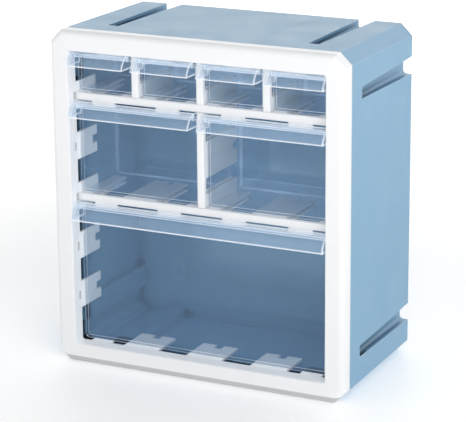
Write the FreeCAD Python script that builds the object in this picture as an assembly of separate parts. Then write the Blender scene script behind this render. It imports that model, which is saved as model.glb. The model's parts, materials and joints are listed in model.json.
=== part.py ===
"""Seven-drawer parts organizer: tapered casing, white front frame, slot-in grid bars, clear drawers.

Millimetres. +Z is up, the drawers open towards -Y, +X is to the right when facing the drawers.
The origin is the middle of the base, below the middle of the whole object.
"""

import FreeCAD, Part
import math
import os

V = FreeCAD.Vector
os.makedirs("parts", exist_ok=True)

# ---- overall sizes -------------------------------------------------------------------------
width = 250.0  # overall width
height = 272.0  # overall height
frame_depth = 12.0  # depth of the front frame
casing_depth = 124.0  # depth of the casing behind it
pull_reach = 3.0  # how far the drawer pulls stand in front of the frame
corner_cut = 9.2  # 45 degree cut on the four long corners
back_taper = 1.2  # the casing's sides and top draw in by this much at the back

front_y = -(frame_depth + casing_depth + pull_reach) / 2 + pull_reach  # front face of the frame
seam_y = front_y + frame_depth  # where the frame meets the casing
back_y = seam_y + casing_depth  # outside of the back wall

# ---- grid of cells -------------------------------------------------------------------------
columns = 4
rows = 6
cell_width = 50.0
cell_height = 35.0
bar = 6.0  # thickness of the bars between cells
pitch_x = cell_width + bar
pitch_z = cell_height + bar
opening_width = columns * pitch_x - bar
opening_height = rows * pitch_z - bar
opening_radius = 2.0
opening_low = (height - opening_height) / 2
opening_high = opening_low + opening_height
half_opening = opening_width / 2
column_lines = [(i - columns / 2) * pitch_x for i in range(1, columns)]
row_lines = [opening_low + i * pitch_z - bar / 2 for i in range(1, rows)]
lower_shelf_z = row_lines[2]
upper_shelf_z = row_lines[4]

# ---- casing --------------------------------------------------------------------------------
wall = 2.5
seam_groove_width = 1.0  # shadow line round the casing where it meets the frame
seam_groove_depth = 0.8
channel_offset_x = 85.5  # channels in the top and the base, from the middle
channel_heights = (34.0, 238.0)  # channels in the sides
channel_start_y = front_y + 32.0
channel_inside = 14.0  # width below the lips
channel_mouth = 9.2  # width between the lips at the front end, growing to channel_inside
channel_depth = 7.0
channel_radius = 3.0
channel_wall = 2.0
keyhole_x = 84.5
keyhole_low_z = 39.8
keyhole_spacing_z = 184.0
keyhole_head_radius = 5.0
keyhole_slot = 4.0
keyhole_rise = 9.9  # from the middle of the round hole up to the middle of the slot's end
keyhole_rim = 1.2
keyhole_rim_height = 0.8
keyhole_web = 0.8  # thin knock-out web that closes the keyhole, flush with the inner face

# ---- front frame ---------------------------------------------------------------------------
frame_edge_radius = 5.0
frame_inner_radius = 1.0
frame_skin = 2.5  # front wall of the hollow ring
frame_rim = 4.3  # outer wall of the hollow ring
reveal_wall = 2.0  # wall around the opening, and thickness of the guide plates on it
tongue_length = 6.0  # the frame's tongue plugs into the casing
tongue_gap = 0.2
plate_back_y = front_y + 43.5
side_plate = 22.0
floor_plate = 31.0
notch_width = 6.5
notch_depth = 7.0
socket_height = 6.6
socket_depth = 3.6
rest_x = 92.0  # short rests beside the lower corners
rest_width = 18.0
rest_length = 5.0
tab_width = 20.0
tab_drop = 4.2
tab_thickness = 2.0
top_tab_x = (33.5, 78.5)

# ---- grid bars -----------------------------------------------------------------------------
bar_front_y = front_y + 11.0
bar_depth = 4.0
bar_round = 1.0
bar_plate_back_y = front_y + 70.0
bar_plate = 29.0
bar_end_plate = 11.0
bar_skin = 1.8  # thickness of the bars' own guide plates
bar_gap = 0.15  # fitting gap at each end of a bar
lug = 6.0
lug_reach = 1.6
lug_margin = 0.5
shelf_tab_drop = 3.4
bar_web = 2.0
lug_root = 2.0
groove = 1.2
groove_depth = 0.5
groove_margin = 3.5  # the groove starts this far behind the bar

# ---- drawers -------------------------------------------------------------------------------
drawer_face_y = front_y + 15.5
drawer_back_y = front_y + 127.5
drawer_side_gap = 0.5
drawer_floor_gap = 0.3
drawer_top_gap = 0.7
drawer_wall = 1.4
drawer_floor = 1.6
drawer_radius = 3.0  # along the lower edges of the sides
drawer_end_radius = 1.0  # round the face and the back wall
face_drop = 4.7  # the face and the ledge in front of it stop this far below the cell's top
pull_drop = 11.7  # lower edge of the pull on small and medium drawers
large_pull_drop = 13.2
pull_step_y = front_y + 10.2  # the hood ends here, just in front of the bars and their stop tabs
pull_shoulder_y = front_y + 5.5  # the hood is flat from the step to here
pull_middle_y = front_y + 0.5  # the pull's curve passes through this point
pull_middle_drop = 4.8
pull_thinning = 0.6  # share of the wall's thickness left, measured upwards, at that point
pull_front_y = front_y - pull_reach
divider_slot_y = front_y + 72.0
divider_slot = 2.2
rib = 1.0
rib_height = 0.9
rib_margin = 2.0  # the wall ribs end this far below the drawer's rim
floor_rib_height = 0.6

# ---- working allowances --------------------------------------------------------------------
over = 2.0  # cutting bodies run this far past what they cut
bite = 0.5  # merged pieces reach this far into each other
tiny = 0.01  # two coordinates closer than this are the same


def block(x0, x1, y0, y1, z0, z1):
    """A box between two corners."""
    return Part.makeBox(x1 - x0, y1 - y0, z1 - z0, V(x0, y0, z0))


def merge(first, others):
    """One clean solid from touching solids."""
    return first.multiFuse(others).removeSplitter()


def flat_face(points):
    """The flat face inside a closed line through the points."""
    return Part.Face(Part.makePolygon(points + points[:1]))


def cut_corner_points(half, low, high, cut, y):
    """The corners, at depth y, of a rectangle with 45 degree cuts."""
    return [
        V(-half + cut, y, low),
        V(half - cut, y, low),
        V(half, y, low + cut),
        V(half, y, high - cut),
        V(half - cut, y, high),
        V(-half + cut, y, high),
        V(-half, y, high - cut),
        V(-half, y, low + cut),
    ]


def outer_shape(inset, y0, y1):
    """The casing's outer form between two depths, drawn in by inset on every side."""
    cut = corner_cut - inset * (2 - math.sqrt(2))
    rings = []
    for y in (y0, y1):
        draft = back_taper / casing_depth * (y - seam_y)
        half = width / 2 - inset - draft
        rings.append(cut_corner_points(half, inset, height - inset - draft, cut, y))
    front, back = rings
    sides = [[front[i - 1], front[i], back[i], back[i - 1]] for i in range(len(front))]
    faces = [flat_face(points) for points in [front[::-1], back] + sides]
    return Part.Solid(Part.Shell(faces))


def frame_prism(inset, y0, y1):
    """The front frame's outline, drawn in by inset and run straight from y0 to y1."""
    cut = corner_cut - inset * (2 - math.sqrt(2))
    outline = cut_corner_points(width / 2 - inset, inset, height - inset, cut, y0)
    return flat_face(outline).extrude(V(0, y1 - y0, 0))


def edges_where(shape, test):
    """Edges whose centre of mass passes the test."""
    return [e for e in shape.Edges if test(e.CenterOfMass)]


def near(a, b):
    """True where two coordinates are the same."""
    return abs(a - b) < tiny


# ---- casing --------------------------------------------------------------------------------


def on_faces(shape):
    """Copies of a shape made at the middle of the top face, one for each of the eight channels."""
    tilt = math.degrees(math.atan(back_taper / casing_depth))
    places = [(x, height, 0) for x in (-channel_offset_x, channel_offset_x)]
    places += [(x, 0, 180) for x in (-channel_offset_x, channel_offset_x)]
    places += [(side * width / 2, z, side * 90) for side in (-1, 1) for z in channel_heights]
    copies = []
    for x, z, turn in places:
        copy = shape.copy()
        if turn != 180:
            copy.rotate(V(0, seam_y, 0), V(1, 0, 0), -tilt)
        copy.rotate(V(0, 0, 0), V(0, 1, 0), turn)
        copy.translate(V(x, 0, z))
        copies.append(copy)
    return copies


def channel_ridge():
    """Solid around one channel, below a surface at z = 0."""
    half = channel_inside / 2 + channel_wall
    start = channel_start_y - channel_wall
    return block(-half, half, start, back_y - wall / 2, -channel_depth - channel_wall, -wall / 2)


def channel_cavity():
    """One channel: a round-bottomed groove below two lips whose mouth widens towards the back."""
    half = channel_inside / 2
    past = back_y + over
    room = block(-half, half, channel_start_y, past, -channel_depth, -wall)
    floor_edges = edges_where(room, lambda c: near(c.z, -channel_depth) and near(abs(c.x), half))
    room = room.makeFillet(channel_radius, floor_edges)
    growth = (channel_inside - channel_mouth) / (back_y - channel_start_y)
    front_half = channel_mouth / 2
    past_half = front_half + growth * (past - channel_start_y) / 2
    points = [
        V(-front_half, channel_start_y, over),
        V(front_half, channel_start_y, over),
        V(past_half, past, over),
        V(-past_half, past, over),
    ]
    mouth = flat_face(points).extrude(V(0, 0, -over - wall - bite))
    return room.fuse(mouth)


def keyhole(x, z, grow, y0, y1):
    """A keyhole prism with its slot upwards, grown outwards by grow."""
    along = V(0, 1, 0)
    head = Part.makeCylinder(keyhole_head_radius + grow, y1 - y0, V(x, y0, z), along)
    radius = keyhole_slot / 2 + grow
    slot = block(x - radius, x + radius, y0, y1, z, z + keyhole_rise)
    end = Part.makeCylinder(radius, y1 - y0, V(x, y0, z + keyhole_rise), along)
    return head.multiFuse([slot, end])


def casing():
    """The blue casing: a tapered box open at the front, with eight channels and four keyholes."""
    inner_face = back_y - wall
    cavity = outer_shape(wall, seam_y - over, inner_face)
    groove_end = seam_y + seam_groove_width
    seam_ring = outer_shape(seam_groove_depth, seam_y, groove_end + bite)
    shell = outer_shape(0, groove_end, back_y).fuse(seam_ring).cut(cavity)
    heights = (keyhole_low_z, keyhole_low_z + keyhole_spacing_z)
    places = [(x, z) for x in (-keyhole_x, keyhole_x) for z in heights]
    rim_y = inner_face - keyhole_rim_height
    rims = [keyhole(x, z, keyhole_rim, rim_y, back_y - bite) for x, z in places]
    cuts = [keyhole(x, z, 0, rim_y - over, inner_face) for x, z in places]
    cuts += [keyhole(x, z, 0, inner_face + keyhole_web, back_y + over) for x, z in places]
    shell = shell.multiFuse(on_faces(channel_ridge()) + rims)
    return shell.cut(on_faces(channel_cavity()) + cuts).removeSplitter()


# ---- front frame ---------------------------------------------------------------------------


def opening_prism(grow, y0, y1, radius):
    """The frame's opening, grown by grow, with rounded corners."""
    half = half_opening + grow
    prism = block(-half, half, y0, y1, opening_low - grow, opening_high + grow)
    corners = edges_where(prism, lambda c: near(c.y, (y0 + y1) / 2))
    return prism.makeFillet(radius, corners)


def notched_plate(x0, x1, z0, z1):
    """A guide plate on the frame's opening, with a notch in the middle of its rear edge."""
    plate = block(x0, x1, seam_y - bite, plate_back_y, z0, z1)
    half = notch_width / 2
    middle_x = (x0 + x1) / 2
    middle_z = (z0 + z1) / 2
    start = plate_back_y - notch_depth
    past = plate_back_y + over
    if x1 - x0 > z1 - z0:
        notch = block(middle_x - half, middle_x + half, start, past, z0 - over, z1 + over)
    else:
        notch = block(x0 - over, x1 + over, start, past, middle_z - half, middle_z + half)
    return plate.cut(notch)


def frame_plates():
    """Guide plates at every place where a shelf or a divider can be plugged in."""
    plates = []
    floor_low = opening_low - reveal_wall
    for side in (-1, 1):
        x0, x1 = sorted((side * half_opening, side * (half_opening + reveal_wall)))
        for z in row_lines:
            plates.append(notched_plate(x0, x1, z - side_plate / 2, z + side_plate / 2))
    for x in column_lines:
        x0, x1 = x - floor_plate / 2, x + floor_plate / 2
        plates.append(notched_plate(x0, x1, floor_low, opening_low))
        plates.append(notched_plate(x0, x1, opening_high, opening_high + reveal_wall))
    for x in (-rest_x, rest_x):
        x0, x1 = x - rest_width / 2, x + rest_width / 2
        plates.append(block(x0, x1, seam_y - bite, seam_y + rest_length, floor_low, opening_low))
    return plates


def frame_sockets():
    """Small sockets in the sides of the opening, one at each end of every row line."""
    half = socket_height / 2
    reach = half_opening + reveal_wall + over
    start = seam_y - socket_depth
    return [block(-reach, reach, start, seam_y, z - half, z + half) for z in row_lines]


def stop_tab(x, low, high):
    """A small tab hanging down in front of a drawer's back wall, centred on x."""
    half = tab_width / 2
    return block(x - half, x + half, bar_front_y, bar_front_y + tab_thickness, low, high)


def on_opening_rim(c):
    """True for a point on the front edge of the opening."""
    inside_z = opening_low - tiny < c.z < opening_high + tiny
    return near(c.y, front_y) and abs(c.x) < half_opening + tiny and inside_z


def front_frame():
    """The white front frame: a hollow ring with a tongue, guide plates, sockets and stop tabs."""
    body = frame_prism(0, front_y, seam_y)
    body = body.makeFillet(frame_edge_radius, edges_where(body, lambda c: near(c.y, front_y)))
    body = body.cut(opening_prism(0, front_y - over, seam_y + over, opening_radius))
    body = body.makeFillet(frame_inner_radius, edges_where(body, on_opening_rim))
    outer_radius = opening_radius + reveal_wall
    hollow = frame_prism(frame_rim, front_y + frame_skin, seam_y + over)
    hollow = hollow.cut(opening_prism(reveal_wall, front_y, seam_y + 2 * over, outer_radius))
    tongue_end = seam_y + tongue_length
    tongue = frame_prism(wall + tongue_gap, seam_y - over, tongue_end)
    tongue = tongue.cut(frame_prism(frame_rim, seam_y - 2 * over, tongue_end + over))
    tabs = [stop_tab(side * x, opening_high - tab_drop, opening_high + bite)
            for x in top_tab_x for side in (-1, 1)]
    body = body.cut([hollow] + frame_sockets())
    return merge(body, [tongue] + frame_plates() + tabs)


# ---- shelves and dividers ------------------------------------------------------------------


def guide_plates(u0, u1, notched):
    """The two thin guide plates of one crossing, joined by a web; u runs along the bar."""
    half = bar / 2
    back = bar_plate_back_y
    start = bar_front_y + bar_depth - bite
    middle = (u0 + u1) / 2
    web_end = back - notch_depth
    lower = block(u0, u1, start, back, -half, -half + bar_skin)
    upper = block(u0, u1, start, back, half - bar_skin, half)
    web = block(middle - bar_web / 2, middle + bar_web / 2, start, web_end, -half + bite, half - bite)
    shape = lower.multiFuse([upper, web])
    if not notched:
        return shape
    u_low, u_high = middle - notch_width / 2, middle + notch_width / 2
    cuts = [block(u_low, u_high, web_end, back + over, -half - over, half + over)]
    u_low, u_high = middle - groove / 2, middle + groove / 2
    for low in (-half, half - groove_depth):
        cuts.append(block(u_low, u_high, start + groove_margin, web_end + over, low, low + groove_depth))
    return shape.cut(cuts)


def grid_bar(u0, u1, crossings, lug_back_y):
    """A bar lying along X from u0 to u1 at z = 0, with guide plates behind it and a lug at each end.

    lug_back_y holds the rear end of the lug at u0 and at u1.
    """
    half = bar / 2
    front = block(u0, u1, bar_front_y, bar_front_y + bar_depth, -half, half)
    long_edges = edges_where(front, lambda c: near(c.y, bar_front_y) and near(abs(c.z), half))
    front = front.makeFillet(bar_round, long_edges)
    pieces = [
        guide_plates(u0, u0 + bar_end_plate, False),
        guide_plates(u1 - bar_end_plate, u1, False),
    ]
    pieces += [guide_plates(u - bar_plate / 2, u + bar_plate / 2, True) for u in crossings]
    for end, inwards, back in ((u0, 1, lug_back_y[0]), (u1, -1, lug_back_y[1])):
        low, high = sorted((end - inwards * lug_reach, end + inwards * lug_root))
        pieces.append(block(low, high, back - lug, back, -half, half))
    return merge(front, pieces)


def shelf(z):
    """A shelf bar across the whole opening, with the stop tabs of the drawers below it."""
    end = half_opening - bar_gap
    lug_back = plate_back_y - lug_margin
    solid = grid_bar(-end, end, column_lines, (lug_back, lug_back))
    middles = [(column - (columns - 1) / 2) * pitch_x for column in range(columns)]
    solid = merge(solid, [stop_tab(x, -bar / 2 - shelf_tab_drop, 0) for x in middles])
    solid.translate(V(0, 0, z))
    return solid


def divider(x, low, high, crossings, lug_back_y):
    """An upright bar at x from low to high."""
    solid = grid_bar(low + bar_gap, high - bar_gap, crossings, lug_back_y)
    solid.rotate(V(0, 0, 0), V(0, 1, 0), -90)
    solid.translate(V(x, 0, 0))
    return solid


# ---- drawers -------------------------------------------------------------------------------


def pull_profile(top, drop, inset, back):
    """Cheek outline of the pull, seen from the side: flat on top, curved in front, flat below."""
    shoulder = V(0, pull_shoulder_y, top - drawer_top_gap - inset)
    middle = V(0, pull_middle_y + inset, top - pull_middle_drop - inset * pull_thinning)
    front = V(0, pull_front_y + inset, top - drop)
    back_top = V(0, back, shoulder.z)
    back_low = V(0, back, top - drop)
    edges = [
        Part.LineSegment(back_top, shoulder).toShape(),
        Part.Arc(shoulder, middle, front).toShape(),
        Part.LineSegment(front, back_low).toShape(),
        Part.LineSegment(back_low, back_top).toShape(),
    ]
    return Part.Face(Part.Wire(edges))


def pull(x0, x1, top, drop):
    """The pull: a curved hood in front, stepping down behind to a ledge, with a cheek at each end."""
    span = x1 - x0
    across = V(span, 0, 0)
    ledge_top = top - face_drop
    ledge_low = ledge_top - drawer_wall
    step_front_y = pull_step_y - drawer_wall
    under_hood = pull_profile(top, drop, drawer_wall, step_front_y).extrude(across)
    under_ledge = block(0, span, step_front_y - bite, pull_step_y, top - drop, ledge_low)
    hood = pull_profile(top, drop, 0, pull_step_y).extrude(across).cut([under_hood, under_ledge])
    ledge = block(0, span, step_front_y, drawer_face_y + bite, ledge_low, ledge_top)
    cheek = pull_profile(top, drop, 0, drawer_face_y + drawer_radius)
    cheeks = [cheek.extrude(V(drawer_wall, 0, 0)) for _ in range(2)]
    cheeks[1].translate(V(span - drawer_wall, 0, 0))
    pieces = [hood, ledge] + cheeks
    for piece in pieces:
        piece.translate(V(x0, 0, 0))
    return pieces


def slot_ribs(x0, x1, low, high):
    """Two upright ribs on each side wall and two across the floor, for a removable divider."""
    ribs = []
    floor_top = low + drawer_floor
    for side in (-1, 1):
        middle = divider_slot_y + side * (divider_slot + rib) / 2
        y0, y1 = middle - rib / 2, middle + rib / 2
        for wall_x, inwards in ((x0 + drawer_wall, 1), (x1 - drawer_wall, -1)):
            low_x, high_x = sorted((wall_x - inwards * bite, wall_x + inwards * rib_height))
            ribs.append(block(low_x, high_x, y0, y1, low + drawer_radius, high - rib_margin))
        ends = (x0 + drawer_radius, x1 - drawer_radius)
        ribs.append(block(*ends, y0, y1, floor_top - bite, floor_top + floor_rib_height))
    return ribs


def tray(x0, x1, low, high):
    """Open box, well rounded along the lower sides and lightly round the face and the back wall."""
    outer = block(x0, x1, drawer_face_y, drawer_back_y, low, high)
    middle_y = (drawer_face_y + drawer_back_y) / 2
    lower_sides = edges_where(outer, lambda c: near(c.y, middle_y) and near(c.z, low))
    outer = outer.makeFillet(drawer_radius, lower_sides)
    round_ends = edges_where(outer, lambda c: abs(c.y - middle_y) > drawer_radius and not near(c.z, high))
    outer = outer.makeFillet(drawer_end_radius, round_ends)
    inner_low, inner_high = low + drawer_floor, high + over
    front, back = drawer_face_y + drawer_wall, drawer_back_y - drawer_wall
    inner = block(x0 + drawer_wall, x1 - drawer_wall, front, back, inner_low, inner_high)
    rounded = edges_where(inner, lambda c: not near(c.z, inner_high))
    inner = inner.makeFillet(drawer_radius - drawer_wall, rounded)
    return outer.cut(inner)


def drawer(first_column, last_column, first_row, last_row, drop, slotted):
    """A drawer that fills the cells between two columns and two rows, counted from the lower left."""
    x0 = -half_opening + first_column * pitch_x + drawer_side_gap
    x1 = -half_opening + (last_column + 1) * pitch_x - bar - drawer_side_gap
    low = opening_low + first_row * pitch_z + drawer_floor_gap
    top = opening_low + (last_row + 1) * pitch_z - bar
    high = top - drawer_top_gap
    solid = tray(x0, x1, low, high)
    y0, y1 = drawer_face_y - over, drawer_face_y + drawer_radius
    solid = solid.cut(block(x0 + drawer_wall, x1 - drawer_wall, y0, y1, top - face_drop, top))
    additions = pull(x0, x1, top, drop)
    if slotted:
        additions += slot_ribs(x0, x1, low, high)
    return merge(solid, additions)


# ---- all the pieces ------------------------------------------------------------------------

frame_lug = plate_back_y - lug_margin
shelf_lug = bar_plate_back_y - lug_margin
middle_low, middle_high = lower_shelf_z + bar / 2, upper_shelf_z - bar / 2
top_low = upper_shelf_z + bar / 2
parts = {
    "casing": casing(),
    "front_frame": front_frame(),
    "shelf_upper": shelf(upper_shelf_z),
    "shelf_lower": shelf(lower_shelf_z),
    "divider_middle": divider(0, middle_low, middle_high, [row_lines[3]], (shelf_lug, shelf_lug)),
    "drawer_medium_left": drawer(0, 1, 3, 4, pull_drop, True),
    "drawer_medium_right": drawer(2, 3, 3, 4, pull_drop, True),
    "drawer_large": drawer(0, 3, 0, 2, large_pull_drop, False),
}
for name, x in zip(("left", "centre", "right"), column_lines):
    parts["divider_top_" + name] = divider(x, top_low, opening_high, [], (shelf_lug, frame_lug))
for column in range(columns):
    parts[f"drawer_small_{column + 1}"] = drawer(column, column, 5, 5, pull_drop, True)

for name, shape in parts.items():
    box = shape.BoundBox
    print(f"{name}: solids {len(shape.Solids)}, valid {shape.isValid()}, volume {shape.Volume:.0f}")
    print(f"  x {box.XMin:.2f} {box.XMax:.2f}, y {box.YMin:.2f} {box.YMax:.2f}", end=", ")
    print(f"z {box.ZMin:.2f} {box.ZMax:.2f}")
    shape.exportStep(f"parts/{name}.step")
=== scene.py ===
"""Looks of the seven-drawer parts organizer: materials, light, floor and camera.

Metres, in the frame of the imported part: +Z up, the drawers open towards -Y.
"""

import json
import math

import bpy
from mathutils import Matrix, Vector


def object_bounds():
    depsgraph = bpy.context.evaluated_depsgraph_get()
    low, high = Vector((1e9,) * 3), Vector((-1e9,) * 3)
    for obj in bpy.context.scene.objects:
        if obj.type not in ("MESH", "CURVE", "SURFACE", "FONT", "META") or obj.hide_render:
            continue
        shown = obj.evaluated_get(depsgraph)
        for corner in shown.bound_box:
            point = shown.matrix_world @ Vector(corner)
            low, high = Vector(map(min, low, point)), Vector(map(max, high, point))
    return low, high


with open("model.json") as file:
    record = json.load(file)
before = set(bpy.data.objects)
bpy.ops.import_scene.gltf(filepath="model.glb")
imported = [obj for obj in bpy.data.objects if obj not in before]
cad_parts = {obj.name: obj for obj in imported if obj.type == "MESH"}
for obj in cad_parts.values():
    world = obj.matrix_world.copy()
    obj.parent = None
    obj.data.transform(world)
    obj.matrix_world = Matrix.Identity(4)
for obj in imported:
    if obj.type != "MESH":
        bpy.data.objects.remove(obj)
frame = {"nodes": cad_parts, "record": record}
cad_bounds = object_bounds()
scene = bpy.context.scene

# ---- camera ------------------------------------------------------------------------------------
camera_place = Vector((0.71243, -1.45937, 0.59819))
camera_yaw = 0.4539  # turn to the left of +Y, radians
camera_pitch = 0.2851  # downwards
camera_roll = -0.0085
camera_lens = 164.1  # mm
camera_sensor = 36.0  # mm wide
camera_reach = 50.0


def add_camera():
    """The camera of the main view, aimed by yaw, pitch and roll."""
    sine, cosine = math.sin(camera_yaw), math.cos(camera_yaw)
    ahead = math.cos(camera_pitch)
    forward = Vector((-sine * ahead, cosine * ahead, -math.sin(camera_pitch)))
    level = Vector((cosine, sine, 0))
    upright = level.cross(forward)
    right = math.cos(camera_roll) * level + math.sin(camera_roll) * upright
    up = math.cos(camera_roll) * upright - math.sin(camera_roll) * level
    data = bpy.data.cameras.new("camera")
    data.lens = camera_lens
    data.sensor_width = camera_sensor
    data.clip_end = camera_reach
    camera = bpy.data.objects.new("camera", data)
    axes = Matrix((right, up, -forward)).transposed().to_4x4()
    camera.matrix_world = Matrix.Translation(camera_place) @ axes
    scene.collection.objects.link(camera)
    scene.camera = camera


# ---- node helpers ------------------------------------------------------------------------------


class Nodes:
    """A material's node tree with short calls to add and link nodes."""

    def __init__(self, material):
        self.tree = material.node_tree
        self.tree.nodes.clear()

    def add(self, kind, **settings):
        node = self.tree.nodes.new(kind)
        for name, value in settings.items():
            setattr(node, name, value)
        return node

    def link(self, output, socket):
        self.tree.links.new(output, socket)

    def coordinates(self):
        """Position on the piece."""
        return self.add("ShaderNodeTexCoord").outputs["Object"]

    def direction(self):
        """Which way the surface faces, in the piece's own frame."""
        return self.add("ShaderNodeTexCoord").outputs["Normal"]

    def noise(self, vector, scale, detail=2.0, roughness=0.5):
        node = self.add("ShaderNodeTexNoise")
        node.inputs["Scale"].default_value = scale
        node.inputs["Detail"].default_value = detail
        node.inputs["Roughness"].default_value = roughness
        self.link(vector, node.inputs["Vector"])
        return node.outputs["Fac"]

    def remap(self, value, low, high, to_low, to_high):
        """A value from low to high becomes one from to_low to to_high, and stays within them."""
        node = self.add("ShaderNodeMapRange")
        limits = {"From Min": low, "From Max": high, "To Min": to_low, "To Max": to_high}
        for socket, number in limits.items():
            node.inputs[socket].default_value = number
        self.link(value, node.inputs["Value"])
        return node.outputs["Result"]

    def mix_colour(self, share, first, second):
        node = self.add("ShaderNodeMix", data_type="RGBA")
        self.put(first, node.inputs["A"])
        self.put(second, node.inputs["B"])
        self.link(share, node.inputs["Factor"])
        return node.outputs["Result"]

    def separate(self, vector):
        node = self.add("ShaderNodeSeparateXYZ")
        self.link(vector, node.inputs["Vector"])
        return node.outputs

    def mottled(self, place, colour, pale):
        """The colour with faint paler clouds."""
        cloud = self.noise(place, 9.0, 3.0, 0.5)
        return self.mix_colour(self.remap(cloud, *noise_range, 0.0, cloud_strength), colour, pale)

    def larger(self, first, second):
        return self.combine("MAXIMUM", first, second)

    def product(self, first, second):
        return self.combine("MULTIPLY", first, second)

    def combine(self, operation, first, second):
        node = self.add("ShaderNodeMath", operation=operation)
        self.link(first, node.inputs[0])
        self.link(second, node.inputs[1])
        return node.outputs["Value"]

    def dot(self, first, second):
        node = self.add("ShaderNodeVectorMath", operation="DOT_PRODUCT")
        self.link(first, node.inputs[0])
        self.link(second, node.inputs[1])
        return node.outputs["Value"]

    def put(self, colour, socket):
        """A colour is three numbers or another node's output."""
        if isinstance(colour, tuple):
            socket.default_value = (*colour, 1)
        else:
            self.link(colour, socket)

    def bump(self, height, strength, distance, normal=None):
        node = self.add("ShaderNodeBump")
        node.inputs["Strength"].default_value = strength
        node.inputs["Distance"].default_value = distance
        self.link(height, node.inputs["Height"])
        if normal is not None:
            self.link(normal, node.inputs["Normal"])
        return node.outputs["Normal"]


# ---- materials ---------------------------------------------------------------------------------

casing_colour = (0.183, 0.367, 0.535)
casing_pale = (0.235, 0.422, 0.592)
# painted highlight: the colour the casing's edges are painted towards
casing_highlight = (0.50, 0.66, 0.78)
casing_shade = (0.008, 0.055, 0.135)  # stands for the shade in the hollows
casing_dark = (0.008, 0.012, 0.022)  # stands for the shade in the pocket behind the frame
hollow_reach = 0.016  # how far away a wall still shades a hollow
hollow_range = (0.28, 0.62)  # openness, from full shade to none
highlight_radius = 0.0011  # the casing is painted paler this near its edges, a painted highlight
highlight_turn = (0.99, 0.75)  # cosine of the turn of the surface, from no painted highlight to the full one
# how strongly the painted highlight pales the edges
highlight_strength = 0.85
soft_radius = 0.0006  # moulded edges look rounded by this much
cloud_strength = 0.22
noise_range = (0.3, 0.7)  # most of what a noise texture gives lies in here
frame_colour = (0.87, 0.877, 0.885)
frame_pale = (0.91, 0.915, 0.92)
frame_foot = (0.50, 0.52, 0.53)  # stands for the shade along the foot
frame_translucency = 0.4
frame_light_depth = 0.004  # light spreads this far inside the white plastic
reveal_glow = 0.14  # stands for light that reaches the opening's walls through the plastic
reveal_offset = 0.105  # these walls are at least this far from the long middle line
clear_tint = (0.975, 0.985, 0.99)
hood_tint = (1.05, 1.04, 1.03)  # above 1: painted light, the hood passes more light than it receives, standing for its shine
clear_milk = (0.55, 0.76, 1.0)  # the skin of the clear plastic
clear_edge = (0.93, 0.96, 1.0)  # its edges and the pulls' flat tops, also the colour of the painted glow at the edges
clear_skin = (0.062, 0.145)  # share of the skin seen straight on, on the tray and on the hood
clear_mirror = (0.8, 0.25)  # how metallic its shine is there
clear_shallow = 0.95  # share of the skin at the shallowest angle
clear_rise = 5.0  # how suddenly the skin's share rises
clear_tilt = (0.3, 0.8)  # between these the shine becomes a plain mirror's
clear_turn = (0.975, 0.90)  # cosine of the turn of the surface, from no edge to full edge
clear_radius = 0.0020  # edges show this far beside them
bright_share = 0.9  # share of the skin at the edges and on the pulls' flat tops
bright_roughness = 0.4  # and its roughness there
edge_glow = 0.30  # stands for light that the clear sheet carries to its edges
edge_fade = (-0.045, -0.020)  # the edges dim between these, from the tray's face backwards
edge_rear = 0.3  # to this share
floor_colour = (0.90, 0.895, 0.89)
floor_glow = (0.29, 0.60)  # beside the object, and far from it
floor_spread = (0.3, 1.1)  # distances from the middle where it has these values
floor_half = 6.0
middle_height = 0.136  # of the object's long middle line
foot_height = 0.006  # painted shade: the frame is greyer below this
pocket_end_y = -0.0285  # the pocket behind the frame, in shade, ends here on the side walls
pocket_extra = 0.010  # and this much farther back on the floor
pocket_offset = 0.06  # its walls are at least this far from the long middle line
pocket_blur = 0.002
inward_blur = 0.005
blur = 0.001  # softness of the other limits
hood_back_y = -0.0560  # the pull's hood lies in front of this
tray_front_y = -0.0480  # the tray's face and the edges round it lie in front of this


def rounded_normal(nodes, radius):
    """Surface directions that turn smoothly over sharp edges."""
    node = nodes.add("ShaderNodeBevel", samples=6)
    node.inputs["Radius"].default_value = radius
    return node.outputs["Normal"]


def edge_share(nodes, radius, turn):
    """Rises from 0 to 1 beside sharp edges, as the softened surface direction leaves the true one."""
    true_normal = nodes.add("ShaderNodeNewGeometry").outputs["Normal"]
    return nodes.remap(nodes.dot(rounded_normal(nodes, radius), true_normal), *turn, 0.0, 1.0)


def inward_share(nodes, place, nearest):
    """The faces that look towards the long middle line from at least this far away."""
    across = nodes.add("ShaderNodeVectorMath", operation="MULTIPLY_ADD")
    nodes.link(place, across.inputs[0])
    across.inputs[1].default_value = (1, 0, 1)
    across.inputs[2].default_value = (0, 0, -middle_height)
    outwards = nodes.dot(across.outputs["Vector"], nodes.direction())
    return nodes.remap(outwards, inward_blur - nearest, -nearest, 0.0, 1.0)


def pocket_share(nodes, place):
    """The walls of the shaded pocket behind the frame: 1 on them, 0 elsewhere."""
    inward = inward_share(nodes, place, pocket_offset)
    along = nodes.separate(place)["Y"]
    on_floor = nodes.remap(nodes.separate(nodes.direction())["Z"], 0.5, 0.9, 0.0, pocket_extra)
    depth = nodes.combine("SUBTRACT", along, on_floor)
    return nodes.product(inward, nodes.remap(depth, pocket_end_y, pocket_end_y - pocket_blur, 0.0, 1.0))


def casing_plastic(material):
    """Blue moulded plastic, with painted shade in the hollows and in the pocket behind the frame, and
    painted highlights along its edges.
    """
    nodes = Nodes(material)
    place = nodes.coordinates()
    body = nodes.mottled(place, casing_colour, casing_pale)
    hollow = nodes.add("ShaderNodeAmbientOcclusion", samples=8, only_local=True)
    hollow.inputs["Distance"].default_value = hollow_reach
    openness = nodes.remap(hollow.outputs["AO"], *hollow_range, 0.0, 1.0)
    body = nodes.mix_colour(openness, casing_shade, body)
    body = nodes.mix_colour(pocket_share(nodes, place), body, casing_dark)
    # painted highlight: the casing's edges are painted paler
    painted_edge_highlight = nodes.remap(edge_share(nodes, highlight_radius, highlight_turn), 0.0, 1.0, 0.0, highlight_strength)
    body = nodes.mix_colour(painted_edge_highlight, body, casing_highlight)
    moulded_surface(nodes, place, body, roughness=0.42, grain=0.04)


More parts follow.
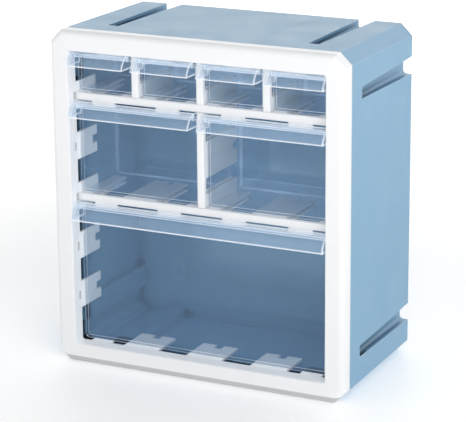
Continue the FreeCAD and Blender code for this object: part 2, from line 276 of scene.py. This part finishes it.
def frame_plastic(material):
    """White moulded plastic that lets a little light through, with painted shade along the foot and a
    painted glow on the opening's walls.
    """
    nodes = Nodes(material)
    place = nodes.coordinates()
    body = nodes.mottled(place, frame_colour, frame_pale)
    foot = nodes.remap(nodes.separate(place)["Z"], 0.8 * foot_height, foot_height, 1.0, 0.0)
    body = nodes.mix_colour(foot, body, frame_foot)
    shader = moulded_surface(nodes, place, body, roughness=0.34, grain=0.10)
    shader.inputs["Subsurface Weight"].default_value = frame_translucency
    shader.inputs["Subsurface Radius"].default_value = (1.0, 1.0, 1.0)
    shader.inputs["Subsurface Scale"].default_value = frame_light_depth
    shader.inputs["Emission Color"].default_value = (1, 1, 1, 1)
    glow = nodes.remap(inward_share(nodes, place, reveal_offset), 0.0, 1.0, 0.0, reveal_glow)
    nodes.link(glow, shader.inputs["Emission Strength"])


def moulded_surface(nodes, place, body, roughness, grain):
    """Fine grain, slow ripples, softly rounded edges and mottled shine over the colour of the body."""
    mottle = nodes.noise(place, 38.0, 5.0, 0.6)
    fine = nodes.noise(place, 2600.0, 2.0, 0.6)
    ripple = nodes.noise(place, 16.0, 1.0, 0.4)
    shader = nodes.add("ShaderNodeBsdfPrincipled")
    nodes.put(body, shader.inputs["Base Color"])
    shine = nodes.remap(mottle, *noise_range, roughness - 0.05, roughness + 0.05)
    nodes.link(shine, shader.inputs["Roughness"])
    rippled = nodes.bump(ripple, 0.12, 0.0006, rounded_normal(nodes, soft_radius))
    nodes.link(nodes.bump(fine, grain, 0.00004, rippled), shader.inputs["Normal"])
    output = nodes.add("ShaderNodeOutputMaterial")
    nodes.link(shader.outputs["BSDF"], output.inputs["Surface"])
    return shader


def hood_shares(nodes, place):
    """The curved front of a pull and its flat top, each 1 there and 0 on the rest of the drawer."""
    in_front = nodes.remap(nodes.separate(place)["Y"], hood_back_y, hood_back_y - blur, 0.0, 1.0)
    turn = nodes.separate(nodes.direction())
    sideways = nodes.add("ShaderNodeMath", operation="ABSOLUTE")
    nodes.link(turn["X"], sideways.inputs[0])
    not_cheek = nodes.remap(sideways.outputs["Value"], 0.3, 0.7, 1.0, 0.0)
    level = nodes.remap(turn["Z"], 0.80, 0.99, 0.0, 1.0)
    return nodes.product(in_front, not_cheek), nodes.product(in_front, level)


def tray_rim_share(nodes, place):
    """The small rounded edges round the tray's face, where the surface turns between two walls."""
    sizes = nodes.add("ShaderNodeVectorMath", operation="ABSOLUTE")
    nodes.link(nodes.direction(), sizes.inputs[0])
    parts = nodes.separate(sizes.outputs["Vector"])
    steepest = nodes.larger(nodes.larger(parts["X"], parts["Y"]), parts["Z"])
    turning = nodes.remap(steepest, 0.97, 0.85, 0.0, 1.0)
    along = nodes.separate(place)["Y"]
    behind_hood = nodes.remap(along, hood_back_y, hood_back_y + blur, 0.0, 1.0)
    at_face = nodes.remap(along, tray_front_y, tray_front_y - blur, 0.0, 1.0)
    return nodes.product(nodes.product(behind_hood, at_face), turning)


def bright_shares(nodes, place, hood_top):
    """Where the clear sheet shows its own light: first its edges, then also the pulls' tops."""
    edges = nodes.larger(edge_share(nodes, clear_radius, clear_turn), tray_rim_share(nodes, place))
    fade = nodes.remap(nodes.separate(place)["Y"], *edge_fade, 1.0, edge_rear)
    edges = nodes.product(edges, fade)
    return edges, nodes.larger(edges, hood_top)


def clear_body(nodes, place, surface, facing, hood, edges, bright):
    """The skin of the clear plastic: a bluish milk and a shine that is plain where it is tilted."""
    tilted = nodes.larger(nodes.remap(facing, *clear_tilt, 0.0, 1.0), bright)
    mirror = nodes.larger(nodes.remap(hood, 0.0, 1.0, *clear_mirror), tilted)
    haze = nodes.noise(place, 55.0, 6.0, 0.65)
    gloss = nodes.remap(haze, 0.35, 0.75, 0.05, 0.16)
    roughness = nodes.larger(gloss, nodes.remap(bright, 0.0, 1.0, 0.0, bright_roughness))
    body = nodes.add("ShaderNodeBsdfPrincipled")
    nodes.put(nodes.mix_colour(bright, clear_milk, clear_edge), body.inputs["Base Color"])
    nodes.link(mirror, body.inputs["Metallic"])
    nodes.link(roughness, body.inputs["Roughness"])
    nodes.link(surface, body.inputs["Normal"])
    nodes.put(clear_edge, body.inputs["Emission Color"])
    nodes.link(nodes.remap(edges, 0.0, 1.0, 0.0, edge_glow), body.inputs["Emission Strength"])
    return body.outputs["BSDF"]


def skin_share(nodes, facing, hood, bright):
    """How much of the skin shows over what lies behind: little straight on, nearly all at the edges."""
    curve = nodes.add("ShaderNodeMath", operation="POWER")
    nodes.link(facing, curve.inputs[0])
    curve.inputs[1].default_value = clear_rise
    skin = nodes.add("ShaderNodeMapRange")
    nodes.link(curve.outputs["Value"], skin.inputs["Value"])
    nodes.link(nodes.remap(hood, 0.0, 1.0, *clear_skin), skin.inputs["To Min"])
    skin.inputs["To Max"].default_value = clear_shallow
    return nodes.larger(skin.outputs["Result"], nodes.remap(bright, 0.0, 1.0, 0.0, bright_share))


def clear_plastic(material):
    """Thin clear styrene: light goes straight through, the skin mirrors the room, edges gather light."""
    nodes = Nodes(material)
    place = nodes.coordinates()
    flow = nodes.noise(place, 22.0, 1.0, 0.4)
    surface = nodes.bump(flow, 0.10, 0.0006)
    hood, hood_top = hood_shares(nodes, place)
    edges, bright = bright_shares(nodes, place, hood_top)
    weight = nodes.add("ShaderNodeLayerWeight")
    weight.inputs["Blend"].default_value = 0.5
    nodes.link(surface, weight.inputs["Normal"])
    facing = weight.outputs["Facing"]
    passing = nodes.add("ShaderNodeBsdfTransparent")
    nodes.put(nodes.mix_colour(hood, clear_tint, hood_tint), passing.inputs["Color"])
    mix = nodes.add("ShaderNodeMixShader")
    nodes.link(skin_share(nodes, facing, hood, bright), mix.inputs["Fac"])
    nodes.link(passing.outputs["BSDF"], mix.inputs[1])
    nodes.link(clear_body(nodes, place, surface, facing, hood, edges, bright), mix.inputs[2])
    output = nodes.add("ShaderNodeOutputMaterial")
    nodes.link(mix.outputs["Shader"], output.inputs["Surface"])


def new_material(name):
    material = bpy.data.materials.new(name)
    material.use_nodes = True
    return material


def floor_material():
    """Plain white studio floor with a glow that grows with distance, very slightly uneven in shine."""
    material = new_material("studio_floor")
    nodes = Nodes(material)
    cloud = nodes.noise(nodes.coordinates(), 3.0, 2.0, 0.5)
    shader = nodes.add("ShaderNodeBsdfPrincipled")
    shader.inputs["Base Color"].default_value = (*floor_colour, 1)
    shader.inputs["Emission Color"].default_value = (1, 1, 1, 1)
    distance = nodes.add("ShaderNodeVectorMath", operation="LENGTH")
    nodes.link(nodes.coordinates(), distance.inputs[0])
    glow = nodes.remap(distance.outputs["Value"], *floor_spread, *floor_glow)
    nodes.link(glow, shader.inputs["Emission Strength"])
    nodes.link(nodes.remap(cloud, *noise_range, 0.5, 0.6), shader.inputs["Roughness"])
    output = nodes.add("ShaderNodeOutputMaterial")
    nodes.link(shader.outputs["BSDF"], output.inputs["Surface"])
    return material


def dress_nodes():
    """Each CAD node gets the material of its slot."""
    looks = {}
    for slot in ("casing_blue", "frame_white", "drawer_clear"):
        looks[slot] = new_material(slot + "_look")
    casing_plastic(looks["casing_blue"])
    frame_plastic(looks["frame_white"])
    clear_plastic(looks["drawer_clear"])
    for part in frame["record"]["subparts"]:
        piece = frame["nodes"][part["node"]]
        piece.data.materials.clear()
        piece.data.materials.append(looks[part["material_slot"]])


# ---- studio ------------------------------------------------------------------------------------

sky_low = (0.64, 0.645, 0.65)
sky_high = (0.36, 0.365, 0.375)
sky_back = (1.8, 1.8, 1.8)
sky_rise = (0.40, 0.85)  # upward part of the direction, from the low sky to the high one
sky_turn = (0.45, 0.8)  # rearward part of the direction, from the low sky to the one behind
lamp_aim = (0, 0, 0.13)


def add_floor():
    """A wide plain floor under the object."""
    level = cad_bounds[0][2]
    signs = ((-1, -1), (1, -1), (1, 1), (-1, 1))
    mesh = bpy.data.meshes.new("studio_floor")
    corners = [(x * floor_half, y * floor_half, level) for x, y in signs]
    mesh.from_pydata(corners, [], [(0, 1, 2, 3)])
    mesh.materials.append(floor_material())
    floor = bpy.data.objects.new("studio_floor", mesh)
    scene.collection.objects.link(floor)


def add_softbox(name, place, size, power):
    """A soft square lamp that faces the middle of the object."""
    data = bpy.data.lights.new(name, "AREA")
    data.shape = "SQUARE"
    data.size = size
    data.energy = power
    lamp = bpy.data.objects.new(name, data)
    lamp.location = place
    lamp.rotation_euler = (Vector(lamp_aim) - Vector(place)).to_track_quat("-Z", "Y").to_euler()
    scene.collection.objects.link(lamp)


def make_sky():
    """A studio tent: even all round at low angles, brightest behind the object, dimmer overhead."""
    world = bpy.data.worlds.new("studio")
    world.use_nodes = True
    sky = Nodes(world)
    direction = sky.separate(sky.add("ShaderNodeTexCoord").outputs["Generated"])
    height = sky.remap(direction["Z"], *sky_rise, 0.0, 1.0)
    backwards = sky.remap(direction["Y"], *sky_turn, 0.0, 1.0)
    around = sky.mix_colour(backwards, sky_low, sky_back)
    background = sky.add("ShaderNodeBackground")
    sky.put(sky.mix_colour(height, around, sky_high), background.inputs["Color"])
    output = sky.add("ShaderNodeOutputWorld")
    sky.link(background.outputs["Background"], output.inputs["Surface"])
    scene.world = world


def light_scene():
    """The tent and two soft lamps, the stronger one at the front right."""
    make_sky()
    add_softbox("softbox_front_right", (0.89, -1.06, 0.93), size=1.0, power=9.6)
    add_softbox("softbox_front_left", (-1.3, -1.8, 1.5), size=1.4, power=1.2)


dress_nodes()
add_floor()
light_scene()
add_camera()
scene.view_settings.view_transform = "Standard"
scene.cycles.transparent_max_bounces = 32
scene.cycles.diffuse_bounces = 8
